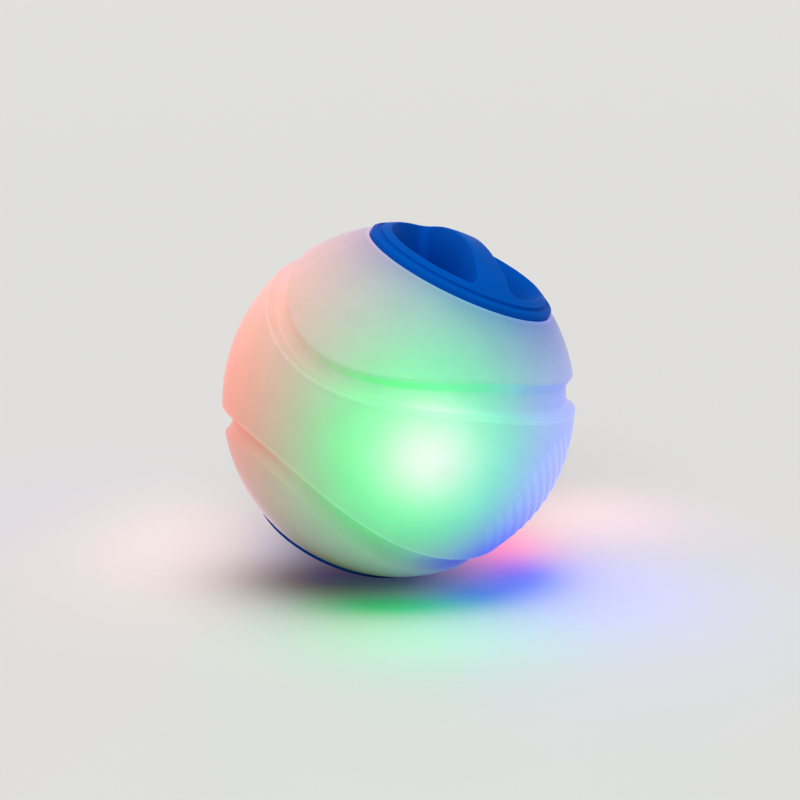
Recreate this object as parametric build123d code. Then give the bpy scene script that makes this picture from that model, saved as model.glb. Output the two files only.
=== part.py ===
from build123d import *
import os
from math import atan2, cos, degrees, radians, sin, sqrt

# Light-up dog ball, millimetres. Every piece is drawn about the ball's own pole axis, which
# is +Z there, and turned once by `lean` as it is saved: the ball lies on the edge of its
# lower cap, so its poles lean towards +X. The origin is the ball's centre.
# Azimuths run anticlockwise seen from the upper pole, and 0 is where the axis leans to.

# The whole ball
ball_diameter = 76.0
lean = 24.0
ball_radius = ball_diameter / 2
slip_gap = 0.3
snug_gap = 0.05
overrun = 1.0

# Rubber shell
shell_wall = 9.0
groove_depth = 1.9
groove_width = 6.4
groove_latitude = 24.5
groove_swing = 7.6
groove_flatness = 0.33
groove_waves = 2
waist_azimuth = -129.5
groove_sections = 9
collar_height = 8.0
collar_wall = 4.0
rib_count = 11
rib_radius = 0.9
rib_height = 0.45
rib_length = 17.8
rib_pitch = 2.55
rib_slant = 41.5
rib_row_slant = 52.0
rib_row_turn = 2.8

# Caps, both ends alike where they show
cap_radius = 20.4
cap_proud = 0.4
cap_edge_round = 0.3
cap_ridge_width = 0.8
cap_valley_width = 0.9
cap_valley_depth = 0.5
cap_valley_round = 0.15
cap_lip_width = 1.7
cap_skirt = 4.4
cap_floor = 3.0
well_depth = 8.8
well_edge_round = 0.5
web_proud = 0.6
web_width = 5.0
web_flare = 1.5
web_draft = 6.0
web_foot_round = 1.8
web_azimuth = -72.0

# Clear core that carries the works, made in two halves
neck_inset = 1.0
neck_step = 0.7
neck_height = 10.4
core_wall = 2.4
flange_thickness = 2.0
core_joint_height = -6.0
lap_height = 3.0
core_floor = 1.8
rail_gap = 0.5
rail_root = 0.6
rail_thickness = 1.6
rail_bottom = 2.4
rail_end_gap = 4.2

# Coarse thread of the upper cap: lugs on the plug, channels in the neck
thread_lead = 24.0
thread_starts = 3
lug_height = 2.0
lug_depth = 1.3
lug_sweep = 40.0
channel_run_in = 4.0
plug_wall = 3.0
plug_length = 9.9

# Seals
seal_section = 1.6
seal_inset = 2.0

# Circuit board and what is soldered on it
board_gap = 0.9
board_thickness = 1.6
board_top = -2.2
led_count = 5
led_radius = 1.5
led_body = 4.3
led_rim_radius = 1.9
led_rim = 1.0
led_tip_gap = 1.2
green_azimuth = -79.5
lead_radius = 0.25
lead_spacing = 2.54
lead_run = 1.6
lead_tail = 0.6
chip_length = 5.0
chip_width = 4.0
chip_height = 1.5
chip_pin_count = 4
chip_pin_pitch = 1.27
chip_pin_width = 0.42
chip_pin_reach = 1.0
chip_pin_thickness = 0.35
resistor_length = 2.0
resistor_width = 1.25
resistor_height = 0.6
resistor_inset = 2.4
capacitor_radius = 2.5
capacitor_height = 5.5
capacitor_round = 0.5
capacitor_inset = 4.6

# Motion switch: a ball that rolls between two contacts in a sealed can
switch_radius = 2.7
switch_length = 8.0
switch_wall = 0.5
switch_ball_radius = 1.9
switch_inset = 4.9

# Screws and the posts that take them
post_radius = 3.2
post_inset = 2.2
post_gaps = (0, 2, 3)
screw_radius = 0.9
screw_length = 6.0
screw_head_radius = 1.9
screw_head_height = 1.3
screw_slot = 0.6
base_post_radius = 2.6
base_post_length = 2.8
base_screw_ring_radius = 8.6
base_screw_count = 3

# Battery sled that hangs from the upper cap, and its cells
cell_radius = 10.0
cell_thickness = 3.2
cell_edge_round = 0.3
cell_count = 2
sled_wall = 1.5
sled_floor = 1.2
sled_bottom = 2.4
sled_roof = 1.8
sled_headroom = 2.0
sled_spring_hole_radius = 6.6
fin_thickness = 2.0
fin_end_gap = 5.8
swivel_radius = 1.5
swivel_tip_gap = 0.8
swivel_head_radius = 3.4
swivel_head_height = 1.4
swivel_boss_radius = 4.6
washer_thickness = 0.5
washer_radius = 4.0

# Battery contacts
spring_wire = 0.7
spring_turns = 4
spring_foot_gap = 2.2
spring_top_radius = 3.2
strip_width = 3.6
strip_thickness = 0.3
strip_reach = 8.0
strip_drop = 1.1
strip_foot = 2.2
leaf_base = 3.4
leaf_offset = 2.6

# Places worked out from the sizes above
led_pitch = 360 / led_count
works_azimuth = green_azimuth + 1.5 * led_pitch
base_screw_azimuth = -(green_azimuth + 3 * led_pitch)
opening_radius = cap_radius + slip_gap
neck_radius = cap_radius - neck_inset
core_radius = neck_radius - neck_step
core_bore_radius = core_radius - core_wall
seal_radius = core_bore_radius + seal_inset
rim_height = sqrt(ball_radius**2 - cap_radius**2)
skirt_bottom = rim_height - cap_skirt
flange_top = skirt_bottom - slip_gap
flange_bottom = flange_top - flange_thickness
neck_bottom = flange_top - neck_height
lip_radius = cap_radius - cap_ridge_width - cap_valley_width
well_radius = lip_radius - cap_lip_width
crest_radius = ball_radius + web_proud
lip_height = sqrt((ball_radius + cap_proud) ** 2 - well_radius**2)
well_floor_height = lip_height - well_depth
well_top = crest_radius + overrun
dish_radius = (well_radius**2 + well_depth**2) / (2 * well_depth)
well_roof = well_floor_height - cap_floor
plug_radius = core_bore_radius - slip_gap
plug_bottom = skirt_bottom - plug_length
lug_bottom = plug_bottom + slip_gap
base_post_end = well_roof - base_post_length
core_floor_inside = base_post_end - core_floor
board_radius = core_bore_radius - board_gap
board_bottom = board_top - board_thickness
resistor_ring_radius = board_radius - resistor_inset
capacitor_ring_radius = board_radius - capacitor_inset
switch_ring_radius = board_radius - switch_inset
post_ring_radius = board_radius - post_inset
led_height = board_top + led_rim_radius
led_base_radius = core_bore_radius - led_tip_gap - led_body - led_rim
lead_place_radius = led_base_radius - lead_run
spring_base_radius = (lead_place_radius + sled_spring_hole_radius) / 2 - spring_foot_gap
sled_cavity_radius = cell_radius + slip_gap
sled_radius = sled_cavity_radius + sled_wall
fin_radius = core_bore_radius - slip_gap
fin_top = plug_bottom - fin_end_gap
rail_depth = core_bore_radius - sled_radius - rail_gap
rail_top = plug_bottom - rail_end_gap
cells_bottom = sled_bottom + sled_floor
cells_top = cells_bottom + cell_count * cell_thickness
sled_roof_bottom = cells_top + sled_headroom
sled_top = sled_roof_bottom + sled_roof
swivel_boss_bottom = sled_top + washer_thickness + snug_gap
swivel_length = well_roof - swivel_tip_gap - sled_roof_bottom
strip_leg_radius = sled_radius - strip_thickness
strip_foot_bottom = sled_bottom - strip_drop


def ring(outer, inner, bottom, top):
    """A flat ring between two heights."""
    height = top - bottom
    blank = Cylinder(outer, height) - Cylinder(inner, height + overrun)
    return Pos(0, 0, (bottom + top) / 2) * blank


def disc(radius, bottom, top):
    """A plain round between two heights."""
    return Pos(0, 0, (bottom + top) / 2) * Cylinder(radius, top - bottom)


def around(azimuth, radius, height=0.0):
    """A place on a ring, its X pointing outwards."""
    return Rot(0, 0, azimuth) * Pos(radius, 0, height)


def flipped(shape):
    """The same shape at the other pole."""
    return Rot(180, 0, 0) * shape


def save(name, *solids):
    """Turns the solids to the way the ball lies and writes them as one node."""
    turned = [Rot(0, lean, 0) * solid for solid in solids]
    shape = turned[0] if len(turned) == 1 else Compound(children=turned)
    export_step(shape, f"parts/{name}.step")


def on_sphere(radius, azimuth, latitude):
    """A point at a longitude and latitude of the pole axis."""
    across = radius * cos(radians(latitude))
    height = radius * sin(radians(latitude))
    return Vector(across * cos(radians(azimuth)), across * sin(radians(azimuth)), height)


def groove_section(turn, side, track_radius, tool_radius):
    """The round tool where it stands square to the wavy groove, `turn` degrees on from a waist."""
    phase = radians(groove_waves * turn)
    wave = cos(phase) - groove_flatness * sin(phase) ** 2
    latitude = side * (groove_latitude - groove_swing * wave)
    climb = side * radians(groove_swing) * groove_waves * sin(phase) * (1 + 2 * groove_flatness * cos(phase))
    place = on_sphere(track_radius, turn, latitude)
    east = Vector(-sin(radians(turn)), cos(radians(turn)), 0)
    north = on_sphere(1, turn, latitude + 90)
    heading = east * cos(radians(latitude)) + north * climb
    return Plane(origin=place, x_dir=place, z_dir=heading) * Circle(tool_radius)


def groove_cutters(side):
    """Tools for one wavy closed groove, above or below the equator, one for each wave."""
    tool_radius = ((groove_width / 2) ** 2 + groove_depth**2) / (2 * groove_depth)
    track_radius = ball_radius - groove_depth + tool_radius
    span = 360 / groove_waves
    turns = [span * step / (groove_sections - 1) for step in range(groove_sections)]
    tool = loft([groove_section(turn, side, track_radius, tool_radius) for turn in turns])
    return [Rot(0, 0, waist_azimuth + span * wave) * tool for wave in range(groove_waves)]


def grip_rib(length):
    """One round-ended rib that follows the ball's skin, lying along Z at the side facing X."""
    track_radius = ball_radius + rib_height - rib_radius
    half_turn = degrees(length / 2 / ball_radius)
    spine = CenterArc((0, 0), track_radius, -half_turn, 2 * half_turn)
    spine = Plane.XZ * spine
    bar = sweep(Plane(origin=spine @ 0, z_dir=spine % 0) * Circle(rib_radius), path=spine)
    return bar + Pos(spine @ 0) * Sphere(rib_radius) + Pos(spine @ 1) * Sphere(rib_radius)


def grip_ribs(azimuth):
    """A slanting row of ribs in the wide part of the middle band, the longest in its middle."""
    ribs = []
    for index in range(rib_count):
        place = index - (rib_count - 1) / 2
        length = rib_length * sqrt(1 - (place / ((rib_count + 1) / 2)) ** 2)
        along = place * degrees(rib_pitch / ball_radius)
        east = along * cos(radians(rib_row_slant))
        north = along * sin(radians(rib_row_slant))
        turn = Rot(0, 0, azimuth + east) * Rot(0, -north, 0)
        ribs.append(turn * Rot(rib_slant, 0, 0) * grip_rib(length))
    return ribs


def outer_shell():
    bore_radius = neck_radius + snug_gap
    collar = ring(bore_radius + collar_wall, bore_radius, flange_bottom - collar_height, rim_height)
    collar &= Sphere(ball_radius)
    shell = Sphere(ball_radius) - Sphere(ball_radius - shell_wall) - Cylinder(bore_radius, ball_diameter)
    shell = shell + collar + flipped(collar)
    mouth = disc(opening_radius, flange_bottom, ball_radius)
    shell = shell - mouth - flipped(mouth)
    for tool in groove_cutters(1) + groove_cutters(-1):
        shell -= tool
    lobe_azimuth = waist_azimuth + 180 / groove_waves
    ribs = []
    for lobe in range(groove_waves):
        ribs += grip_ribs(lobe_azimuth + rib_row_turn + 360 * lobe / groove_waves)
    return shell + ribs


def dome_blank():
    """The turned blank of a cap: skirt, rounded edge, ring valley and the crown that the web keeps."""
    rim_radius = ball_radius + cap_proud
    edge_height = sqrt(rim_radius**2 - cap_radius**2)
    rim_middle_radius = (cap_radius + well_radius) / 2
    rim_middle = (rim_middle_radius, sqrt(rim_radius**2 - rim_middle_radius**2))
    crown_middle = (well_radius / 2, sqrt(crest_radius**2 - (well_radius / 2) ** 2))
    rim_line = ThreePointArc((cap_radius, edge_height), rim_middle, (well_radius, lip_height))
    crown_line = ThreePointArc((well_radius, lip_height), crown_middle, (0, crest_radius))
    foot = (cap_radius, skirt_bottom)
    base_line = Polyline((0, crest_radius), (0, skirt_bottom), foot, (cap_radius, edge_height))
    blank = revolve(Plane.XZ * make_face([rim_line, crown_line, base_line]), Axis.Z)
    edge = blank.edges().filter_by(lambda e: abs((e @ 0).Z - edge_height) < snug_gap)
    blank = fillet(edge, cap_edge_round)
    valley_section = ((cap_valley_width / 2) ** 2 + cap_valley_depth**2) / (2 * cap_valley_depth)
    valley_radius = lip_radius + cap_valley_width / 2
    valley_height = sqrt(rim_radius**2 - valley_radius**2)
    outwards = (rim_radius + valley_section - cap_valley_depth) / rim_radius
    tool = Pos(0, 0, valley_height * outwards) * Torus(valley_radius * outwards, valley_section)
    blank -= tool
    shoulders = blank.edges().filter_by(lambda e: is_valley_shoulder(e, rim_radius, valley_radius))
    return fillet(shoulders, cap_valley_round)


def is_valley_shoulder(edge, rim_radius, valley_radius):
    """Whether an edge of the blank is one of the two where the valley meets the rim."""
    place = edge @ 0
    across = sqrt(place.X**2 + place.Y**2)
    return abs(place.length - rim_radius) < snug_gap and abs(across - valley_radius) < cap_valley_width


def web_bar():
    """The waisted bar left between the wells, wider towards its foot."""
    half_waist = web_width / 2
    half_end = half_waist + web_flare
    reach = cap_radius
    near_side = ThreePointArc((-reach, half_end), (0, half_waist), (reach, half_end))
    far_side = ThreePointArc((reach, -half_end), (0, -half_waist), (-reach, -half_end))
    ends = [Line(near_side @ 1, far_side @ 0), Line(far_side @ 1, near_side @ 0)]
    outline = Pos(0, 0, well_top) * make_face([near_side, ends[0], far_side, ends[1]])
    bar_height = well_top - well_floor_height + overrun
    return Rot(0, 0, web_azimuth) * extrude(outline, amount=-bar_height, taper=-web_draft)


def finger_wells():
    """The room of the two wells: a dish with the web taken out of it, rounded where they meet."""
    dish = Pos(0, 0, well_floor_height + dish_radius) * Sphere(dish_radius)
    wells = (dish & disc(cap_radius, well_floor_height - overrun, well_top)) - web_bar()
    feet = wells.edges().filter_by(lambda edge: is_web_foot(edge))
    return fillet(feet, web_foot_round)


def is_web_foot(edge):
    """Whether an edge is where a side of the web runs down into the dish."""
    middle = edge @ 0.5
    off_dish = (middle - Vector(0, 0, well_floor_height + dish_radius)).length - dish_radius
    return abs(off_dish) < snug_gap and middle.Z < skirt_bottom


def cap_dome():
    """What shows of a cap: the crowned blank with its two finger wells."""
    dome = dome_blank() + disc(plug_radius, well_roof, skirt_bottom) - finger_wells()
    mouths = dome.edges().filter_by(lambda edge: is_well_mouth(edge))
    return fillet(mouths, well_edge_round)


def is_well_mouth(edge):
    """Whether an edge lies on the crown, round one of the wells."""
    spots = [edge @ 0, edge @ 0.5, edge @ 1]
    inside = all(sqrt(spot.X**2 + spot.Y**2) < well_radius + snug_gap for spot in spots)
    return inside and all(spot.Z > skirt_bottom + cap_skirt / 2 for spot in spots)


def seal(grow=0.0):
    """The rubber ring under a cap, or with `grow` the seat that it is pressed into."""
    height = flange_top + snug_gap + seal_section / 2
    return Pos(0, 0, height) * Torus(seal_radius, seal_section / 2 + grow)


def helix_bar(reach, height, bottom, turn, start):
    """A square bar that climbs round the plug with the thread's lead."""
    path = Helix(pitch=thread_lead, height=thread_lead * turn / 360, radius=plug_radius)
    section = Plane(origin=path @ 0, z_dir=path % 0, x_dir=(1, 0, 0)) * Rectangle(2 * reach, height)
    bar = sweep(section, path=path, is_frenet=True)
    return Rot(0, 0, start) * Pos(0, 0, bottom + height / 2) * bar


def twist_cap():
    cap = cap_dome()
    hollow_radius = plug_radius - plug_wall
    cap += disc(plug_radius, plug_bottom, well_roof)
    cap -= disc(hollow_radius, plug_bottom - overrun, well_roof)
    for index in range(thread_starts):
        start = 360 * index / thread_starts
        lug = helix_bar(lug_depth, lug_height, lug_bottom, lug_sweep, start)
        cap += lug - disc(hollow_radius + snug_gap, plug_bottom, skirt_bottom)
    cap += disc(swivel_boss_radius, swivel_boss_bottom, well_roof)
    cap -= disc(swivel_radius + snug_gap, swivel_boss_bottom - overrun, well_roof)
    return cap - seal(snug_gap)


def base_cap():
    cap = cap_dome()
    for index in range(base_screw_count):
        spot = around(base_screw_azimuth + 360 * index / base_screw_count, base_screw_ring_radius)
        cap += spot * disc(base_post_radius, base_post_end, well_roof)
        cap -= spot * disc(screw_radius + snug_gap, base_post_end - overrun, base_post_end + screw_length)
    return flipped(cap - seal(snug_gap))


def core_end():
    """The stout neck and flange that both halves of the core have."""
    neck = ring(neck_radius, core_bore_radius, neck_bottom, flange_top)
    return neck + ring(cap_radius, core_bore_radius, flange_bottom, flange_top)


def lap_radius():
    return (core_bore_radius + core_radius) / 2


def core_upper():
    core = core_end() + ring(core_radius, core_bore_radius, core_joint_height, neck_bottom)
    core += ring(lap_radius(), core_bore_radius, core_joint_height - lap_height, core_joint_height)
    bottom = lug_bottom - slip_gap - thread_lead * channel_run_in / 360
    turn = 360 * (flange_top + overrun - bottom) / thread_lead
    for index in range(thread_starts):
        start = 360 * index / thread_starts - channel_run_in
        core -= helix_bar(lug_depth + slip_gap, lug_height + 2 * slip_gap, bottom, turn, start)
    rail_place = core_bore_radius + (rail_root - rail_depth) / 2
    rail_height = rail_top - rail_bottom
    for azimuth in (works_azimuth + 90, works_azimuth - 90):
        for side in (1, -1):
            rail = Box(rail_depth + rail_root, rail_thickness, rail_height)
            offset = side * (fin_thickness / 2 + slip_gap + rail_thickness / 2)
            core += Rot(0, 0, azimuth) * Pos(rail_place, offset, rail_bottom + rail_height / 2) * rail
    return core


def core_lower():
    core = flipped(core_end()) + ring(core_radius, core_bore_radius, -neck_bottom, core_joint_height)
    core += disc(core_radius, -base_post_end, -core_floor_inside)
    core -= disc(lap_radius() + snug_gap, core_joint_height - lap_height, core_joint_height + overrun)
    for azimuth in board_screw_azimuths():
        spot = around(azimuth, post_ring_radius)
        post = spot * disc(post_radius, -core_floor_inside, board_bottom)
        foot = spot * disc(post_radius, -core_floor_inside, core_joint_height - lap_height)
        core += post & Cylinder(core_bore_radius - snug_gap, ball_diameter)
        core += foot & Cylinder(core_radius, ball_diameter)
        core -= spot * disc(screw_radius + snug_gap, board_bottom - screw_length, board_bottom)
    for index in range(base_screw_count):
        spot = around(base_screw_azimuth + 360 * index / base_screw_count, base_screw_ring_radius)
        hole = disc(screw_radius + snug_gap, core_floor_inside - overrun, base_post_end + overrun)
        core -= flipped(spot * hole)
    return core


def board_screw_azimuths():
    return [green_azimuth + led_pitch * (gap + 0.5) for gap in post_gaps]


def lead_places(index):
    """Where the two wires of one lamp go through the board."""
    turn = Rot(0, 0, green_azimuth + led_pitch * index)
    return [turn * Pos(lead_place_radius, side * lead_spacing / 2, 0) for side in (1, -1)]


def circuit_board():
    board = disc(board_radius, board_bottom, board_top)
    for azimuth in board_screw_azimuths():
        spot = around(azimuth, post_ring_radius)
        board -= spot * disc(screw_radius + snug_gap, board_bottom - overrun, board_top + overrun)
    for index in range(led_count):
        for place in lead_places(index):
            board -= place * disc(lead_radius + snug_gap, board_bottom - overrun, board_top + overrun)
    return board


def led(index):
    """One round lamp lying on the board, its dome pointing out through the core."""
    straight = led_rim + led_body - led_radius
    lamp = disc(led_rim_radius, 0, led_rim) + disc(led_radius, 0, straight)
    lamp += Pos(0, 0, straight) * Sphere(led_radius)
    return around(green_azimuth + led_pitch * index, led_base_radius, led_height) * Rot(0, 90, 0) * lamp


def led_leads():
    leads = []
    for index in range(led_count):
        for place in lead_places(index):
            run = Rot(0, 90, 0) * disc(lead_radius, 0, lead_run)
            wire = Pos(0, 0, led_height) * (run + Sphere(lead_radius))
            leads.append(place * (wire + disc(lead_radius, board_bottom - lead_tail, led_height)))
    return leads


def controller_chip():
    body = Pos(0, 0, board_bottom - chip_height / 2) * Box(chip_length, chip_width, chip_height)
    for index in range(chip_pin_count):
        along = (index - (chip_pin_count - 1) / 2) * chip_pin_pitch
        pin = Box(chip_pin_width, chip_width + 2 * chip_pin_reach, chip_pin_thickness)
        body += Pos(along, 0, board_bottom - chip_pin_thickness / 2) * pin
    return Rot(0, 0, works_azimuth) * body


def resistors():
    height = board_bottom - resistor_height / 2
    block = Box(resistor_width, resistor_length, resistor_height)
    return [
        around(green_azimuth + led_pitch * index, resistor_ring_radius, height) * block
        for index in range(led_count)
    ]


def capacitor():
    can = disc(capacitor_radius, board_bottom - capacitor_height, board_bottom)
    can = fillet(can.edges().group_by(Axis.Z)[0], capacitor_round)
    return around(works_azimuth, capacitor_ring_radius) * can


def switch_place():
    height = board_bottom - switch_radius
    return around(green_azimuth - led_pitch / 2, switch_ring_radius, height) * Rot(90, 0, 0)


def motion_switch_can():
    can = Cylinder(switch_radius, switch_length)
    return switch_place() * (can - Cylinder(switch_radius - switch_wall, switch_length - 2 * switch_wall))


def motion_switch_ball():
    rest = switch_length / 2 - switch_wall - switch_ball_radius - snug_gap
    return switch_place() * Pos(0, 0, -rest) * Sphere(switch_ball_radius)


def screw(shank_radius, shank_length, head_radius, head_height):
    """A slotted screw, its head standing on zero and its shank below."""
    head = disc(head_radius, 0, head_height)
    head -= Pos(0, 0, head_height) * Box(2 * head_radius, screw_slot, head_height)
    return head + disc(shank_radius, -shank_length, 0)


def board_screws():
    one = screw(screw_radius, screw_length, screw_head_radius, screw_head_height)
    return [around(azimuth, post_ring_radius, board_top) * one for azimuth in board_screw_azimuths()]


def base_screws():
    one = Pos(0, 0, core_floor_inside) * Rot(180, 0, 0)
    one = one * screw(screw_radius, screw_length, screw_head_radius, screw_head_height)
    return [
        flipped(around(base_screw_azimuth + 360 * index / base_screw_count, base_screw_ring_radius) * one)
        for index in range(base_screw_count)
    ]


def swivel_screw():
    one = screw(swivel_radius, swivel_length, swivel_head_radius, swivel_head_height)
    return Pos(0, 0, sled_roof_bottom - snug_gap) * Rot(180, 0, 0) * one


def battery_sled():
    sled = disc(sled_radius, sled_bottom, sled_top)
    sled -= disc(sled_cavity_radius, cells_bottom, sled_roof_bottom)
    window_height = sled_roof_bottom - cells_bottom
    window = Box(2 * sled_cavity_radius, 2 * sled_cavity_radius, window_height)
    sled -= Pos(-sled_cavity_radius, 0, cells_bottom + window_height / 2) * window
    sled -= disc(sled_spring_hole_radius, sled_bottom - overrun, cells_bottom)
    sled -= disc(swivel_radius + snug_gap, sled_roof_bottom - overrun, sled_top + overrun)
    slot_top = cells_top + strip_thickness + slip_gap
    slot_depth = sled_wall + strip_foot + slip_gap
    slot = Box(2 * slot_depth, strip_width + 2 * snug_gap, 2 * (slot_top - sled_bottom))
    sled -= Pos(sled_radius, 0, sled_bottom) * slot
    fin_length = fin_radius - sled_cavity_radius - sled_wall / 2
    fin_height = fin_top - sled_bottom
    for side in (90, -90):
        fin = Box(fin_length, fin_thickness, fin_height) & Cylinder(fin_radius, ball_diameter)
        sled += Rot(0, 0, side) * Pos(fin_radius - fin_length / 2, 0, sled_bottom + fin_height / 2) * fin
    return Rot(0, 0, works_azimuth) * sled


def coin_cells():
    cells = []
    for index in range(cell_count):
        bottom = cells_bottom + index * cell_thickness
        cell = disc(cell_radius, bottom, bottom + cell_thickness)
        cells.append(fillet(cell.edges().filter_by(GeomType.CIRCLE), cell_edge_round))
    return cells


def sled_contact():
    """The strip that brings the upper cell's current down the sled's back to its foot."""
    tongue_height = cells_top + strip_thickness / 2
    tongue = Box(strip_reach, strip_width, strip_thickness)
    tongue = Pos(sled_radius - strip_reach / 2, 0, tongue_height) * tongue
    leg_length = cells_top + strip_thickness - strip_foot_bottom
    leg = Pos(strip_leg_radius + strip_thickness / 2, 0, strip_foot_bottom + leg_length / 2)
    strip = tongue + leg * Box(strip_thickness, strip_width, leg_length)
    foot = Pos(sled_radius - strip_foot / 2, 0, strip_foot_bottom + strip_thickness / 2)
    return Rot(0, 0, works_azimuth) * (strip + foot * Box(strip_foot, strip_width, strip_thickness))


def board_leaf():
    """The sprung leaf on the board that the sled's foot presses on."""
    top = strip_foot_bottom - snug_gap
    outer_x = sled_radius
    inner_x = outer_x - leaf_base
    points = [
        (outer_x, board_top),
        (inner_x, board_top),
        (inner_x, board_top + strip_thickness),
        (outer_x - leaf_offset / 2, board_top + strip_thickness),
        (inner_x, top - strip_thickness),
        (inner_x, top),
        (outer_x - strip_thickness, top),
        (outer_x - strip_thickness, top - strip_thickness),
        (inner_x + strip_thickness, top - strip_thickness),
        (outer_x, board_top + strip_thickness),
    ]
    profile = make_face(Polyline(*points, close=True))
    leaf = extrude(Plane.XZ * profile, amount=strip_width / 2, both=True)
    return Rot(0, 0, works_azimuth) * leaf


def battery_spring():
    """The conical coil that holds the cells up and takes their lower contact."""
    rise = cells_bottom - board_top - spring_wire
    slope = -degrees(atan2(spring_base_radius - spring_top_radius, rise))
    path = Helix(pitch=rise / spring_turns, height=rise, radius=spring_base_radius, cone_angle=slope)
    section = Plane(origin=path @ 0, z_dir=path % 0) * Circle(spring_wire / 2)
    return Pos(0, 0, board_top + spring_wire / 2) * sweep(section, path=path, is_frenet=True)


def swivel_washer():
    return ring(washer_radius, swivel_radius + slip_gap, sled_top, sled_top + washer_thickness)


os.makedirs("parts", exist_ok=True)
save("outer_shell", outer_shell())
save("twist_cap", twist_cap())
save("cap_seal", seal())
save("base_cap", base_cap())
save("base_seal", flipped(seal()))
save("core_upper", core_upper())
save("core_lower", core_lower())
save("circuit_board", circuit_board())
save("green_led", led(0))
save("blue_leds", led(1), led(3))
save("red_leds", led(2), led(4))
save("led_leads", *led_leads())
save("controller_chip", controller_chip())
save("resistors", *resistors())
save("capacitor", capacitor())
save("motion_switch_can", motion_switch_can())
save("motion_switch_ball", motion_switch_ball())
save("board_screws", *board_screws())
save("base_screws", *base_screws())
save("battery_sled", battery_sled())
save("coin_cells", *coin_cells())
save("sled_contact", sled_contact())
save("board_leaf", board_leaf())
save("battery_spring", battery_spring())
save("swivel_screw", swivel_screw())
save("swivel_washer", swivel_washer())
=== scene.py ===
from math import asin, cos, degrees, pi, radians, sin, sqrt

import bpy
import numpy as np
from mathutils import Matrix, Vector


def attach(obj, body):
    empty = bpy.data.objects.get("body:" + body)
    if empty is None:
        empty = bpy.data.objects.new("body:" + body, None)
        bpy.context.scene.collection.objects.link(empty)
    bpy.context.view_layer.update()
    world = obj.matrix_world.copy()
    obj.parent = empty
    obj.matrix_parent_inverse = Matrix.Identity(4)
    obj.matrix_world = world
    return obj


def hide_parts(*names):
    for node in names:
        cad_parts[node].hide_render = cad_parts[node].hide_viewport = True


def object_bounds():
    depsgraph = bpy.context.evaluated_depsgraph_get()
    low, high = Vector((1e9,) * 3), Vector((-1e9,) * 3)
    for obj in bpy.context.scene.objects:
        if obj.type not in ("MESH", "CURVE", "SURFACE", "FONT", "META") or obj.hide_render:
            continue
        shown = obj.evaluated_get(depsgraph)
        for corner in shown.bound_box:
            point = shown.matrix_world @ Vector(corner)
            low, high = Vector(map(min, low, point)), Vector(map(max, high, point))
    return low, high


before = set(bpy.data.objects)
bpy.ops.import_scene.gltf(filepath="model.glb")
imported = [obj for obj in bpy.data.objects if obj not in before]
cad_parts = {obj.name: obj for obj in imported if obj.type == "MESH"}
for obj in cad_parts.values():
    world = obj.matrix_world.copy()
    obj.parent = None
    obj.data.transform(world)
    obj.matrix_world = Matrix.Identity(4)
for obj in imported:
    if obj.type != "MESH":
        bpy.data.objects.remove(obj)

cad_low, cad_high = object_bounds()


# The camera stands square on to the ball's side and looks a little down on it, six ball
# radii away. The ball's centre is the origin.
ball_radius = 0.038
view_elevation = radians(22.39)
view_distance = 6 * ball_radius
camera_data = bpy.data.cameras.new("camera")
camera_data.lens = 47.1
camera_data.shift_x = 0.0016
camera_data.shift_y = 0.0009
camera_data.clip_start = 0.01
camera_data.clip_end = 20
camera = bpy.data.objects.new("camera", camera_data)
camera.location = (0, -view_distance * cos(view_elevation), view_distance * sin(view_elevation))
camera.rotation_euler = (pi / 2 - view_elevation, 0, 0)
bpy.context.scene.collection.objects.link(camera)
bpy.context.scene.camera = camera
bpy.context.scene.view_settings.view_transform = "Standard"


# The studio floor is one wide matt sheet of pale paper. The soft pools of colour that the lamps in
# the ball throw on it, and the ball's shadow, are painted on it: each painted pool takes away some of the
# paper's own colour and adds painted light.
def set_socket(tree, socket, value):
    """Joins a node's output to the socket, or sets a plain value on it."""
    if isinstance(value, bpy.types.NodeSocket):
        tree.links.new(value, socket)
    else:
        socket.default_value = value


def new_node(tree, kind, inputs=(), **settings):
    """A node with its settings, and its inputs joined or set by name."""
    node = tree.nodes.new(kind)
    for name, value in settings.items():
        setattr(node, name, value)
    for name, value in dict(inputs).items():
        set_socket(tree, node.inputs[name], value)
    return node


def calc(tree, operation, *values):
    """One step of arithmetic."""
    node = tree.nodes.new("ShaderNodeMath")
    node.operation = operation
    for socket, value in zip(node.inputs, values):
        set_socket(tree, socket, value)
    return node.outputs[0]


def vector_step(tree, operation, *values):
    """One step of vector arithmetic."""
    return new_node(tree, "ShaderNodeVectorMath", dict(enumerate(values)), operation=operation).outputs[0]


def new_material(name, **principled):
    """An empty material with its main shader; the names are that shader's sockets."""
    material = bpy.data.materials.new(name)
    material.use_nodes = True
    shader = material.node_tree.nodes["Principled BSDF"]
    for socket, value in principled.items():
        set_socket(material.node_tree, shader.inputs[socket.replace("_", " ")], value)
    return material, material.node_tree, shader


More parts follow.
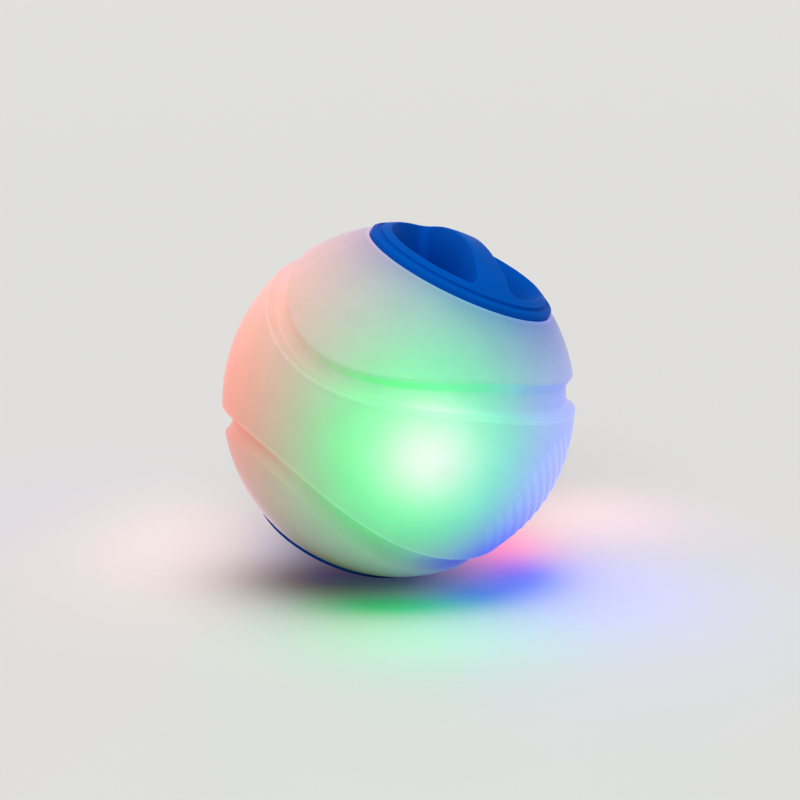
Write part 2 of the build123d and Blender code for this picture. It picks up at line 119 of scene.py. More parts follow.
floor_reach = 8.0
# Painted light and painted shadow. Each pool lists its centre, its width and depth, the share of the
# paper's colour it takes away and the painted light it adds. ball_shade is the ball's painted shadow.
painted_light_pools = {
    "green_foot": ((-0.0005, -0.0217), (0.0154, 0.0039), (0.77, 0.0, 0.532), (0.0, 0.021, 0.0)),
    "green_pool": ((0.0043, -0.0333), (0.0294, 0.0129), (0.191, 0.685, 0.084), (0.111, 0.737, 0.152)),
    "blue_foot": ((0.0275, -0.0094), (0.0098, 0.0080), (0.795, 0.497, 0.0), (0.0, 0.0, 0.129)),
    "blue_pool": ((0.0428, -0.0166), (0.0282, 0.0193), (0.095, 0.0, 0.638), (0.067, 0.022, 0.789)),
    "pink_foot": ((0.0242, 0.0031), (0.0117, 0.0103), (0.278, 0.252, 0.0), (0.622, 0.0, 0.0)),
    "pink_pool": ((0.0465, 0.0174), (0.0257, 0.0168), (0.989, 0.748, 0.301), (0.934, 0.586, 0.345)),
    "rose_pool": ((-0.0466, 0.0047), (0.0295, 0.0251), (0.0, 0.03, 0.371), (0.191, 0.121, 0.304)),
    "ball_shade": ((-0.0119, -0.0107), (0.0226, 0.0095), (0.99, 1.022, 1.106), (0.0, 0.0, 0.001)),
    "rose_haze": ((-0.0846, 0.0173), (0.0476, 0.0424), (0.0, 0.031, 0.167), (0.0, 0.0, 0.139)),
    "cyan_foot": ((0.0168, -0.0172), (0.0102, 0.0053), (0.581, 0.569, 0.0), (0.0, 0.061, 0.045)),
}
paper_colour = (0.78, 0.78, 0.765, 1)
fibre_colour = (0.7683, 0.7683, 0.753525, 1)
paper_seen = (0.735, 0.735, 0.72, 1)
floor_mesh = bpy.data.meshes.new("studio_floor")
floor_sides = ((-1, -1), (1, -1), (1, 1), (-1, 1))
corners = [(x * floor_reach, y * floor_reach, cad_low.z) for x, y in floor_sides]
floor_mesh.from_pydata(corners, [], [(0, 1, 2, 3)])
studio_floor = bpy.data.objects.new("studio_floor", floor_mesh)
bpy.context.scene.collection.objects.link(studio_floor)
paper, tree, shader = new_material("pale_paper", Roughness=0.55)
shader.inputs["Specular IOR Level"].default_value = 0.25
place = new_node(tree, "ShaderNodeTexCoord").outputs["Object"]
fibres = new_node(tree, "ShaderNodeTexNoise", {"Vector": place, "Scale": 900.0, "Detail": 3.0})
shade = new_node(tree, "ShaderNodeMix", {"Factor": fibres.outputs["Fac"]}, data_type="RGBA")
shade.inputs["A"].default_value = fibre_colour
shade.inputs["B"].default_value = paper_colour
painted_shadow_and_tint = new_node(tree, "ShaderNodeCombineXYZ", {"X": 1.0, "Y": 1.0, "Z": 1.0}).outputs[0]
painted_pool_light = new_node(tree, "ShaderNodeCombineXYZ").outputs[0]
# Each painted pool darkens and tints the paper's colour and adds painted glow.
for (x, y), (wide, deep), taken, added in painted_light_pools.values():
    spot = vector_step(tree, "SUBTRACT", place, (x, y, cad_low.z))
    spot = vector_step(tree, "DIVIDE", spot, (wide, deep, 1.0))
    reach = new_node(tree, "ShaderNodeVectorMath", {0: spot, 1: spot}, operation="DOT_PRODUCT")
    fade = calc(tree, "EXPONENT", calc(tree, "MULTIPLY", reach.outputs["Value"], -1.0))
    painted_shadow_and_tint = vector_step(tree, "MULTIPLY_ADD", fade, tuple(-share for share in taken), painted_shadow_and_tint)
    painted_pool_light = vector_step(tree, "MULTIPLY_ADD", fade, added, painted_pool_light)
painted_shadow_and_tint = vector_step(tree, "MAXIMUM", painted_shadow_and_tint, (0.0, 0.0, 0.0))
tree.links.new(vector_step(tree, "MULTIPLY", shade.outputs["Result"], painted_shadow_and_tint), shader.inputs["Base Color"])
tree.links.new(painted_pool_light, shader.inputs["Emission Color"])
shader.inputs["Emission Strength"].default_value = 1.0
floor_mesh.materials.append(paper)

world = bpy.data.worlds.new("studio")
bpy.context.scene.world = world
world.use_nodes = True
tree = world.node_tree
tree.nodes.clear()
rays = new_node(tree, "ShaderNodeLightPath")
seen = calc(tree, "MAXIMUM", rays.outputs["Is Camera Ray"], rays.outputs["Is Glossy Ray"])
seen = calc(tree, "MAXIMUM", seen, rays.outputs["Is Transmission Ray"])
room_light = new_node(tree, "ShaderNodeBackground", {"Color": (1, 1, 1, 1), "Strength": 0.42})
backdrop = new_node(tree, "ShaderNodeBackground", {"Color": paper_seen, "Strength": 1.0})
either = new_node(tree, "ShaderNodeMixShader", {0: seen})
tree.links.new(room_light.outputs[0], either.inputs[1])
tree.links.new(backdrop.outputs[0], either.inputs[2])
tree.links.new(either.outputs[0], new_node(tree, "ShaderNodeOutputWorld").inputs["Surface"])


# One very large soft box hangs over the table, a little in front of the ball and to its
# left, so that the shadow is broad and stays under the ball.
overhead = bpy.data.lights.new("overhead_soft_box", "SUN")
overhead.energy = 1.75
overhead.angle = radians(75)
overhead.color = (1.0, 0.99, 0.975)
overhead_lamp = bpy.data.objects.new("overhead_soft_box", overhead)
overhead_lamp.rotation_euler = (radians(14), radians(-10), 0)
bpy.context.scene.collection.objects.link(overhead_lamp)


# The shell is one moulding of frosted, milky rubber, open at both poles. Two wavy grooves
# run round it, mirrored at its equator, and a ladder of short ribs stands in each wide
# part of the band between them.
lean = radians(24)
pole_to_world = Matrix.Rotation(lean, 4, "Y")
shell_wall = 0.009
opening_radius = 0.0207
mouth_floor = 0.02536
bore_radius = 0.01945
collar_wall = 0.004
collar_height = 0.008
collar_radius = bore_radius + collar_wall
collar_end = mouth_floor - collar_height
waist_azimuth = -129.5
lobe_azimuth = waist_azimuth + 90
mouth_round = 0.0003
bead_height = 0.00013
skin_radius = ball_radius - bead_height
groove_upper, groove_lower = 30.5, 17.5
rib_field = (-17, 22)
skin_sizes = {
    "Skin Radius": skin_radius,
    "Groove Depth": 0.0019,
    "Groove Swing": 7.6,
    "Groove Flatness": 0.33,
    "Waist Azimuth": waist_azimuth,
    "Waves": 2.0,
    "Rib Height": 0.0003,
    "Rib Radius": 0.0009,
    "Rib Length": 0.0178,
    "Rib Pitch": 0.00255,
    "Rib Count": 11.0,
    "Rib Slant": 41.5,
    "Row Slant": 52.0,
    "Row Turn": 2.8,
}


def pole_profile():
    """Radius and height along the skin and back through the bore, with 1 where it is skin."""
    edge = degrees(asin(sqrt(ball_radius**2 - opening_radius**2) / ball_radius)) - 0.6
    rises = np.concatenate([
        np.linspace(edge, groove_upper, 17, endpoint=False),
        np.linspace(groove_upper, groove_lower, 38, endpoint=False),
        np.linspace(groove_lower, -groove_lower, 70, endpoint=False),
        np.linspace(-groove_lower, -groove_upper, 38, endpoint=False),
        np.linspace(-groove_upper, -edge, 18),
    ])
    points = [(ball_radius * cos(radians(a)), ball_radius * sin(radians(a)), 1) for a in rises]
    mouth_top = sqrt(ball_radius**2 - opening_radius**2)
    inner_radius = ball_radius - shell_wall
    collar_foot = sqrt(inner_radius**2 - collar_radius**2)
    half = [
        (opening_radius, mouth_top - mouth_round, 0),
        (opening_radius, mouth_floor + mouth_round, 0),
        (opening_radius, mouth_floor, 0),
        (bore_radius, mouth_floor, 0),
        (bore_radius, min(collar_end, collar_foot), 0),
        (collar_radius, min(collar_end, collar_foot), 0),
    ]
    turns = np.radians(np.linspace(30, -30, 9))
    back = [(inner_radius * cos(a), inner_radius * sin(a), 0) for a in turns]
    lower = [(r, -h, s) for r, h, s in half]
    return points + lower + [(r, -h, s) for r, h, s in back] + half[::-1]


def groove_and_rib_tree(material):
    """Geometry Nodes that sink the wavy grooves in a smooth ball skin and raise its grip ribs."""
    tree = bpy.data.node_groups.new("moulded_skin", "GeometryNodeTree")
    tree.interface.new_socket("Geometry", in_out="INPUT", socket_type="NodeSocketGeometry")
    for name in skin_sizes:
        tree.interface.new_socket(name, in_out="INPUT", socket_type="NodeSocketFloat")
    tree.interface.new_socket("Geometry", in_out="OUTPUT", socket_type="NodeSocketGeometry")
    size = new_node(tree, "NodeGroupInput").outputs
    place = new_node(tree, "GeometryNodeInputPosition").outputs[0]
    axes = new_node(tree, "ShaderNodeSeparateXYZ", {"Vector": place}).outputs
    radius = new_node(tree, "ShaderNodeVectorMath", {0: place}, operation="LENGTH").outputs["Value"]
    azimuth = calc(tree, "ARCTAN2", axes["Y"], axes["X"])
    latitude = calc(tree, "DEGREES", calc(tree, "ARCSINE", calc(tree, "DIVIDE", axes["Z"], radius)))
    rise = calc(tree, "ABSOLUTE", latitude)
    share = calc(tree, "DIVIDE", rise, 60.0)

    def curve(points, handle):
        """A curve of the rise through the given points, from 0 at the equator to 1 at 60 degrees."""
        node = new_node(tree, "ShaderNodeFloatCurve", {"Value": share})
        node.mapping.use_clip = False
        line = node.mapping.curves[0]
        for _ in points[2:]:
            line.points.new(0.5, 0.5)
        for knot, (x, y) in zip(line.points, points):
            knot.location = (x / 60, y)
            knot.handle_type = handle
        node.mapping.update()
        return node.outputs[0]

    follow = curve([
        (0, 0), (15, 0.83), (19.6, 0.84), (29.3, 1.15), (32, 1.12), (55.4, 0), (60, 0),
    ], "VECTOR")
    section = curve([
        (0, 1), (18.0, 1), (19.0, 1.05), (19.6, 1.06), (20.2, 0.9), (20.9, 0.45), (21.6, 0.12),
        (22.4, 0.02), (24.2, 0), (26.0, 0.03), (27.0, 0.2), (28.1, 0.6), (28.9, 0.93), (29.5, 1), (60, 1),
    ], "AUTO_CLAMPED")
    turn = calc(tree, "SUBTRACT", azimuth, calc(tree, "RADIANS", size["Waist Azimuth"]))
    phase = calc(tree, "MULTIPLY", turn, size["Waves"])
    flatter = calc(tree, "POWER", calc(tree, "SINE", phase), 2.0)
    flatter = calc(tree, "MULTIPLY", flatter, size["Groove Flatness"])
    wave = calc(tree, "SUBTRACT", calc(tree, "COSINE", phase), flatter)
    swing = calc(tree, "MULTIPLY", calc(tree, "MULTIPLY", wave, size["Groove Swing"]), follow)
    moved = calc(tree, "MULTIPLY", calc(tree, "SIGN", axes["Z"]), calc(tree, "SUBTRACT", rise, swing))
    north_angle = calc(tree, "RADIANS", moved)
    sink = calc(tree, "MULTIPLY", calc(tree, "SUBTRACT", section, 1.0), size["Groove Depth"])

    lobe = calc(tree, "ADD", size["Waist Azimuth"], 90.0)
    row_middle = calc(tree, "ADD", lobe, size["Row Turn"])
    from_lobe = calc(tree, "SUBTRACT", calc(tree, "DEGREES", azimuth), row_middle)
    from_lobe = calc(tree, "RADIANS", calc(tree, "WRAP", from_lobe, 90.0, -90.0))
    east = calc(tree, "MULTIPLY", from_lobe, size["Skin Radius"])
    north = calc(tree, "MULTIPLY", north_angle, size["Skin Radius"])
    slant = calc(tree, "RADIANS", size["Rib Slant"])
    tilt = calc(tree, "SUBTRACT", calc(tree, "RADIANS", size["Row Slant"]), slant)
    cos_slant = calc(tree, "COSINE", slant)
    sin_slant = calc(tree, "SINE", slant)
    across = calc(tree, "MULTIPLY_ADD", east, cos_slant, calc(tree, "MULTIPLY", north, sin_slant))
    along = calc(tree, "MULTIPLY", north, cos_slant)
    along = calc(tree, "SUBTRACT", along, calc(tree, "MULTIPLY", east, sin_slant))
    across_step = calc(tree, "MULTIPLY", size["Rib Pitch"], calc(tree, "COSINE", tilt))
    along_step = calc(tree, "MULTIPLY", size["Rib Pitch"], calc(tree, "SINE", tilt))
    middle = calc(tree, "DIVIDE", calc(tree, "SUBTRACT", size["Rib Count"], 1.0), 2.0)
    order = calc(tree, "ROUND", calc(tree, "ADD", calc(tree, "DIVIDE", across, across_step), middle))
    order = calc(tree, "MAXIMUM", 0.0, calc(tree, "MINIMUM", order, calc(tree, "MULTIPLY", middle, 2.0)))
    order = calc(tree, "SUBTRACT", order, middle)
    off = calc(tree, "SUBTRACT", across, calc(tree, "MULTIPLY", order, across_step))
    end = calc(tree, "SUBTRACT", along, calc(tree, "MULTIPLY", order, along_step))
    taper = calc(tree, "POWER", calc(tree, "DIVIDE", order, calc(tree, "ADD", middle, 1.0)), 2.0)
    taper = calc(tree, "SQRT", calc(tree, "SUBTRACT", 1.0, taper))
    half_rib = calc(tree, "MULTIPLY", calc(tree, "MULTIPLY", size["Rib Length"], 0.5), taper)
    end = calc(tree, "SUBTRACT", calc(tree, "ABSOLUTE", end), half_rib)
    end = calc(tree, "MAXIMUM", end, 0.0)
    span = calc(tree, "ADD", calc(tree, "POWER", off, 2.0), calc(tree, "POWER", end, 2.0))
    round_top = calc(tree, "SUBTRACT", calc(tree, "POWER", size["Rib Radius"], 2.0), span)
    round_top = calc(tree, "SQRT", calc(tree, "MAXIMUM", round_top, 0.0))
    bury = calc(tree, "SUBTRACT", size["Rib Height"], size["Rib Radius"])
    rib = calc(tree, "SMOOTH_MAX", calc(tree, "ADD", round_top, bury), 0.0, 0.00025)

    reach = calc(tree, "ADD", calc(tree, "ADD", size["Skin Radius"], sink), rib)
    level = calc(tree, "MULTIPLY", reach, calc(tree, "COSINE", north_angle))
    new_place = new_node(tree, "ShaderNodeCombineXYZ", {
        "X": calc(tree, "MULTIPLY", level, calc(tree, "COSINE", azimuth)),
        "Y": calc(tree, "MULTIPLY", level, calc(tree, "SINE", azimuth)),
        "Z": calc(tree, "MULTIPLY", reach, calc(tree, "SINE", north_angle)),
    })
    skin = new_node(tree, "GeometryNodeInputNamedAttribute", {"Name": "skin"}, data_type="FLOAT")
    is_skin = calc(tree, "GREATER_THAN", skin.outputs["Attribute"], 0.5)
    move = new_node(tree, "GeometryNodeSetPosition", {
        "Geometry": size["Geometry"], "Selection": is_skin, "Position": new_place.outputs[0],
    })
    whole = new_node(tree, "GeometryNodeRealizeInstances", {"Geometry": move.outputs[0]}).outputs[0]
    painted = new_node(tree, "GeometryNodeSetMaterial", {"Geometry": whole, "Material": material})
    tree.links.new(painted.outputs[0], new_node(tree, "NodeGroupOutput").inputs["Geometry"])
    return tree


def turned_blank(name, profile, azimuths):
    """A closed turned skin: the profile's points at each azimuth, with the skin flag kept."""
    rows = np.array(profile)
    turns = np.radians(azimuths)
    places = np.empty((len(turns), len(rows), 3))
    places[:, :, 0] = np.cos(turns)[:, None] * rows[None, :, 0]
    places[:, :, 1] = np.sin(turns)[:, None] * rows[None, :, 0]
    places[:, :, 2] = rows[None, :, 1]
    index = np.arange(len(turns) * len(rows)).reshape(len(turns), len(rows))
    across = np.roll(index, -1, axis=0)
    quads = np.stack([index, np.roll(index, -1, axis=1), np.roll(across, -1, axis=1), across], axis=-1)
    mesh = bpy.data.meshes.new(name)
    mesh.from_pydata(places.reshape(-1, 3).tolist(), [], quads.reshape(-1, 4).tolist())
    flags = np.tile(rows[:, 2], len(turns)).astype(np.float32)
    mesh.attributes.new("skin", "FLOAT", "POINT").data.foreach_set("value", flags)
    return mesh


def fine_azimuths():
    """Columns of the shell, closer together where the ribs stand."""
    first, last = rib_field
    half = np.concatenate([
        np.linspace(-90, first, 50, endpoint=False),
        np.linspace(first, last, 134, endpoint=False),
        np.linspace(last, 90, 48, endpoint=False),
    ])
    return np.concatenate([lobe_azimuth + half, lobe_azimuth + 180 + half])


def plain_mesh(name, source, tree, sizes):
    """Runs a Geometry Nodes tree with its sizes on a mesh and gives the finished, turned piece."""
    worker = bpy.data.objects.new(name + "_blank", source)
    modifier = worker.modifiers.new("nodes", "NODES")
    modifier.node_group = tree
    for socket in tree.interface.items_tree:
        if socket.name in sizes:
            modifier[socket.identifier] = sizes[socket.name]
    bpy.context.scene.collection.objects.link(worker)
    made = bpy.data.meshes.new_from_object(worker.evaluated_get(bpy.context.evaluated_depsgraph_get()))
    bpy.data.objects.remove(worker)
    made.name = name
    made.transform(pole_to_world)
    piece = bpy.data.objects.new(name, made)
    bpy.context.scene.collection.objects.link(piece)
    return piece


# The shell's colour is painted light. The lamps' light through the rubber is painted as soft round glows on
# a base colour. Painted shade (under_shade, cap_shade, far_shade) darkens it under the ball, next to the
# cap and on the far side. Each entry lists longitude, latitude, sharpness and colour. Half of the painted
# colour goes into the base colour, half into the glow.
glow_base = (-0.059, 0.365, -0.108)
painted_glows_and_shade = {
    "green_core": (14.5, 8.3, 28.93, (1.031, -0.576, 0.578)),
    "green_halo": (13.0, 7.3, 10.23, (-0.459, 1.201, -0.089)),
    "red_near": (-57.4, -18.4, 6.26, (0.341, -0.181, -0.227)),
    "red_far": (-74.8, 17.9, 4.96, (0.474, 0.020, -0.100)),
    "blue_upper": (69.8, 10.8, 5.76, (0.067, 0.018, 0.769)),
    "blue_lower": (60.9, -21.1, 15.40, (-0.231, -0.316, 0.280)),
    "under_shade": (23.8, -71.4, 7.09, (-0.470, -0.637, -0.631)),
    "red_under": (-49.5, -57.0, 36.65, (0.679, 0.480, 0.729)),
    "cap_shade": (18.0, 78.2, 7.75, (-0.855, -1.175, -0.315)),
    "cap_rim_light": (8.8, 65.7, 8.32, (0.241, 0.540, 0.207)),
    "far_lilac": (200.2, 2.3, 0.38, (0.849, 0.309, 1.101)),
    "far_shade": (-156.9, 2.3, 2.46, (-0.243, -0.186, -0.383)),
}
lamp_meridian = -99.5
daylight_share = 0.5
glow_share = 0.5


def glow_group():
    """Adds one lamp's painted soft round glow to a colour, strongest towards the lamp's centre; a darkening
    colour paints shade.
    """
    group = bpy.data.node_groups.new("lamp_glow", "ShaderNodeTree")
    for name in ("Below", "Direction", "Centre", "Glow"):
        group.interface.new_socket(name, in_out="INPUT", socket_type="NodeSocketVector")
    group.interface.new_socket("Sharpness", in_out="INPUT", socket_type="NodeSocketFloat")
    group.interface.new_socket("Colour", in_out="OUTPUT", socket_type="NodeSocketVector")
    given = new_node(group, "NodeGroupInput").outputs
    pair = {0: given["Direction"], 1: given["Centre"]}
    near = new_node(group, "ShaderNodeVectorMath", pair, operation="DOT_PRODUCT").outputs["Value"]
    fall = calc(group, "MULTIPLY", given["Sharpness"], calc(group, "SUBTRACT", near, 1.0))
    lit = vector_step(group, "MULTIPLY_ADD", calc(group, "EXPONENT", fall), given["Glow"], given["Below"])
    group.links.new(lit, new_node(group, "NodeGroupOutput").inputs["Colour"])
    return group


def upright(tree, place):
    """The place turned back to the ball's own pole axis."""
    turn = {"Vector": place, "Angle": -lean}
    return new_node(tree, "ShaderNodeVectorRotate", turn, rotation_type="Y_AXIS").outputs[0]


def sphere_direction(longitude, latitude):
    """The unit vector at a longitude and latitude; longitude 0 faces the camera."""
    azimuth = radians(longitude + lamp_meridian)
    level = cos(radians(latitude))
    return level * cos(azimuth), level * sin(azimuth), sin(radians(latitude))


def noise(tree, place, scale, detail):
    """Soft cloudy noise at a place, from 0 to 1."""
    inputs = {"Vector": place, "Scale": scale, "Detail": detail}
    return new_node(tree, "ShaderNodeTexNoise", inputs).outputs["Fac"]


def between(tree, value, low, high, at_low, at_high):
    """A value held within low and high, and mapped onto two others."""
    return new_node(tree, "ShaderNodeMapRange", {
        "Value": value, "From Min": low, "From Max": high, "To Min": at_low, "To Max": at_high,
    }).outputs[0]


def frosted_rubber():
    """Milky rubber lit through by the lamps, their glow painted on; in the grooves, nearer to the lamps,
    the colour is painted deeper on walls that face down, in shade, and lighter on walls that face up.
    """
    material, tree, shader = new_material("frosted_rubber", Roughness=0.5)
    place = new_node(tree, "ShaderNodeTexCoord").outputs["Object"]
    pole_place = upright(tree, place)
    direction = vector_step(tree, "NORMALIZE", pole_place)
    glow_tree = glow_group()
    glow = new_node(tree, "ShaderNodeCombineXYZ", dict(zip("XYZ", glow_base))).outputs[0]
    for longitude, latitude, sharpness, colour in painted_glows_and_shade.values():
        glow = new_node(tree, "ShaderNodeGroup", {
            "Below": glow, "Direction": direction, "Centre": sphere_direction(longitude, latitude),
            "Glow": colour, "Sharpness": sharpness,
        }, node_tree=glow_tree).outputs[0]
    glow = vector_step(tree, "MAXIMUM", glow, (0.01, 0.01, 0.01))
    radius = new_node(tree, "ShaderNodeVectorMath", {0: place}, operation="LENGTH").outputs["Value"]
    depth = between(tree, radius, skin_radius - 0.0001, skin_radius - 0.0007, 0.0, 1.0)
    # Painted shade and light in the grooves: walls that face down, where shade falls, are painted a deeper
    # colour, and walls that face up get a painted lift of the green core glow.
    facing = new_node(tree, "ShaderNodeNewGeometry").outputs["Normal"]
    facing_up = new_node(tree, "ShaderNodeSeparateXYZ", {"Vector": facing}).outputs["Z"]
    shaded = between(tree, facing_up, -0.1, 0.4, 1.0, 0.0)
    lifted = calc(tree, "MULTIPLY", depth, calc(tree, "SUBTRACT", 1.0, shaded))
    depth = calc(tree, "MULTIPLY", depth, calc(tree, "MULTIPLY", shaded, 0.48))
    parts = new_node(tree, "ShaderNodeSeparateXYZ", {"Vector": glow}).outputs
    strongest = calc(tree, "MAXIMUM", calc(tree, "MAXIMUM", parts["X"], parts["Y"]), parts["Z"])
    deep = vector_step(tree, "MULTIPLY", glow, glow)
    deep = vector_step(tree, "MULTIPLY", deep, calc(tree, "DIVIDE", 1.2, strongest))
    mixed = new_node(tree, "ShaderNodeMix", {"Factor": depth}, data_type="VECTOR")
    tree.links.new(glow, mixed.inputs["A"])
    tree.links.new(deep, mixed.inputs["B"])
    # Painted highlight: the raised lip beside each groove and the rib flanks are painted a tenth lighter,
    # the rib tops about plain.
    painted_bead_highlight = between(tree, radius, skin_radius + 0.00004, skin_radius + 0.0001, 1.0, 1.1)
    rib = between(tree, radius, skin_radius + 0.0001, skin_radius + 0.00024, 0.0, 1.0)
    painted_bead_highlight = calc(tree, "MULTIPLY", calc(tree, "MULTIPLY_ADD", rib, -0.1, 1.0), painted_bead_highlight)
    # Painted highlight: a pale glow painted on the rib tops towards the right-hand edge of the shell.
    east, south, _ = sphere_direction(84, 0)
    painted_rib_highlight = new_node(tree, "ShaderNodeGroup", {
        "Direction": direction, "Centre": (east, south, 0.1), "Glow": (0.2, 0.17, 0.02), "Sharpness": 13.0,
    }, node_tree=glow_tree).outputs[0]
    # Painted highlight: the skin is painted up to a third lighter right at the edge of each opening, by the
    # caps.
    level_place = vector_step(tree, "MULTIPLY", pole_place, (1.0, 1.0, 0.0))
    off_axis = new_node(tree, "ShaderNodeVectorMath", {0: level_place}, operation="LENGTH").outputs["Value"]
    rim = between(tree, off_axis, opening_radius + 0.0001, opening_radius + 0.0009, 1.35, 1.0)
    cloud = noise(tree, place, 160.0, 4.0)
    speck = new_node(tree, "ShaderNodeTexVoronoi", {"Vector": place, "Scale": 420.0}).outputs["Distance"]
    speck = between(tree, speck, 0.03, 0.09, 0.86, 1.0)
    cloud = between(tree, cloud, 0.3, 0.7, 0.97, 1.02)
    # Random cloudy colour and dust specks in the rubber, times the painted highlights on the lips, rib
    # flanks and opening edges.
    grain = calc(tree, "MULTIPLY", calc(tree, "MULTIPLY", cloud, speck), calc(tree, "MULTIPLY", painted_bead_highlight, rim))
    # Painted highlight: the groove walls that face up get an extra share of the green core glow.
    longitude, latitude, sharpness, _ = painted_glows_and_shade["green_core"]
    core_light = new_node(tree, "ShaderNodeGroup", {
        "Direction": direction, "Centre": sphere_direction(longitude, latitude),
        "Glow": (1.1, 0.0, 0.45), "Sharpness": sharpness,
    }, node_tree=glow_tree).outputs[0]
    lip_light = vector_step(tree, "MULTIPLY_ADD", core_light, lifted, (1.0, 1.0, 1.0))
    field = vector_step(tree, "MULTIPLY_ADD", painted_rib_highlight, rib, mixed.outputs["Result"])
    field = vector_step(tree, "MULTIPLY", field, vector_step(tree, "MULTIPLY", lip_light, grain))
    base = vector_step(tree, "MULTIPLY", field, (daylight_share,) * 3)
    tree.links.new(vector_step(tree, "MINIMUM", base, (0.8, 0.8, 0.8)), shader.inputs["Base Color"])
    emitted = vector_step(tree, "MULTIPLY", field, (glow_share,) * 3)
    tree.links.new(emitted, shader.inputs["Emission Color"])
    shader.inputs["Emission Strength"].default_value = 1.0
    relief = noise(tree, place, 2600.0, 2.0)
    bump = new_node(tree, "ShaderNodeBump", {"Height": relief, "Strength": 0.25, "Distance": 0.00006})
    tree.links.new(bump.outputs[0], shader.inputs["Normal"])
    return material


frosted = frosted_rubber()
blank = turned_blank("shell_blank", pole_profile(), fine_azimuths())
shell = plain_mesh("frosted_shell", blank, groove_and_rib_tree(frosted), skin_sizes)
shell.data.shade_smooth()
shell.data.set_sharp_from_angle(angle=radians(50))
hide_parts("outer_shell")
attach(shell, "root")


# Each end cap is one moulding in deep blue soft-touch rubber over a stiff plug, with two
# finger wells and a web between them. The upper one screws in, the lower one is fixed.
def grain_group():
    """Mould grain: a mottled colour, a roughness and a normal from one colour and three sizes."""
    group = bpy.data.node_groups.new("mould_grain", "ShaderNodeTree")
    group.interface.new_socket("Colour", in_out="INPUT", socket_type="NodeSocketColor")
    for name in ("Mottle", "Grain Scale", "Mottle Scale", "Roughness", "Relief"):
        group.interface.new_socket(name, in_out="INPUT", socket_type="NodeSocketFloat")
    for name, kind in (("Colour", "Color"), ("Roughness", "Float"), ("Normal", "Vector")):
        group.interface.new_socket(name, in_out="OUTPUT", socket_type="NodeSocket" + kind)
    given = new_node(group, "NodeGroupInput").outputs
    out = new_node(group, "NodeGroupOutput")
    place = new_node(group, "ShaderNodeTexCoord").outputs["Object"]
    fine = noise(group, place, given["Grain Scale"], 3.0)
    broad = noise(group, place, given["Mottle Scale"], 4.0)
    shade = calc(group, "SUBTRACT", 1.0, calc(group, "MULTIPLY", broad, given["Mottle"]))
    colour = new_node(group, "ShaderNodeVectorMath", {0: given["Colour"]}, operation="SCALE")
    group.links.new(shade, colour.inputs["Scale"])
    group.links.new(colour.outputs[0], out.inputs["Colour"])
    uneven = calc(group, "MULTIPLY_ADD", calc(group, "SUBTRACT", broad, 0.5), 0.22, given["Roughness"])
    group.links.new(uneven, out.inputs["Roughness"])
    height = calc(group, "MULTIPLY", fine, given["Relief"])
    bump = new_node(group, "ShaderNodeBump", {"Height": height, "Strength": 0.4, "Distance": 0.0001})
    group.links.new(bump.outputs[0], out.inputs["Normal"])
    return group


mould_grain = grain_group()


def moulded(name, colour, roughness, mottle=0.12, mottle_scale=120.0, relief=0.5, **principled):
    """A moulded material: the shared grain on a plain colour."""
    material, tree, shader = new_material(name, **principled)
    grain_node = new_node(tree, "ShaderNodeGroup", {
        "Colour": (*colour, 1), "Mottle": mottle, "Grain Scale": 1800.0, "Mottle Scale": mottle_scale,
        "Roughness": roughness, "Relief": relief,
    }, node_tree=mould_grain)
    tree.links.new(grain_node.outputs["Colour"], shader.inputs["Base Color"])
    tree.links.new(grain_node.outputs["Roughness"], shader.inputs["Roughness"])
    tree.links.new(grain_node.outputs["Normal"], shader.inputs["Normal"])
    return material


def dress(material, *names):
    """Gives the CAD pieces their material."""
    for name in names:
        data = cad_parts[name].data
        data.materials.clear()
        data.materials.append(material)


cap_rubber = moulded(
    "cap_rubber", (0.0, 0.098, 0.53), 0.42, mottle=0.08, relief=0.35,
    Specular_IOR_Level=0.01, Specular_Tint=(0.0, 0.3, 1.0, 1),
)
# Painted shade on the caps: the blue is painted darker deep in the finger wells, and darker towards the
# bottom, where the lower cap stands in the shade of the ball.
tree = cap_rubber.node_tree
base_socket = tree.nodes["Principled BSDF"].inputs["Base Color"]
place = new_node(tree, "ShaderNodeTexCoord").outputs["Object"]
radius = new_node(tree, "ShaderNodeVectorMath", {0: place}, operation="LENGTH").outputs["Value"]
painted_well_shade = between(tree, radius, 0.030, 0.0375, 1.0, 0.0)
painted_well_shade = vector_step(tree, "MULTIPLY_ADD", painted_well_shade, (0.0, -0.55, -0.36), (1.0, 1.0, 1.0))
height = new_node(tree, "ShaderNodeSeparateXYZ", {"Vector": place}).outputs["Z"]
shaded = between(tree, height, -0.034, -0.012, 0.12, 1.0)
base = vector_step(tree, "MULTIPLY", base_socket.links[0].from_socket, painted_well_shade)
tree.links.new(vector_step(tree, "MULTIPLY", base, shaded), base_socket)
dress(cap_rubber, "twist_cap", "base_cap")


# The seals are black silicone rings. Each is pressed under the rim of its cap, and keeps
# water and dirt out of the core.
dress(moulded("seal_rubber", (0.02, 0.02, 0.022), 0.55), "cap_seal", "base_seal")


# The core is a clear moulded box in two halves, with the thread of the upper cap in its
# bore. It passes the light of the lamps to the rubber.
clear_plastic, tree, shader = new_material("clear_plastic", IOR=1.5, Transmission_Weight=0.9)
flow = new_node(tree, "ShaderNodeGroup", {
    "Colour": (0.86, 0.93, 0.95, 1), "Mottle": 0.05, "Grain Scale": 600.0, "Mottle Scale": 60.0,
    "Roughness": 0.12, "Relief": 0.08,
}, node_tree=mould_grain)
tree.links.new(flow.outputs["Colour"], shader.inputs["Base Color"])
tree.links.new(flow.outputs["Roughness"], shader.inputs["Roughness"])
tree.links.new(flow.outputs["Normal"], shader.inputs["Normal"])
dress(clear_plastic, "core_upper", "core_lower")


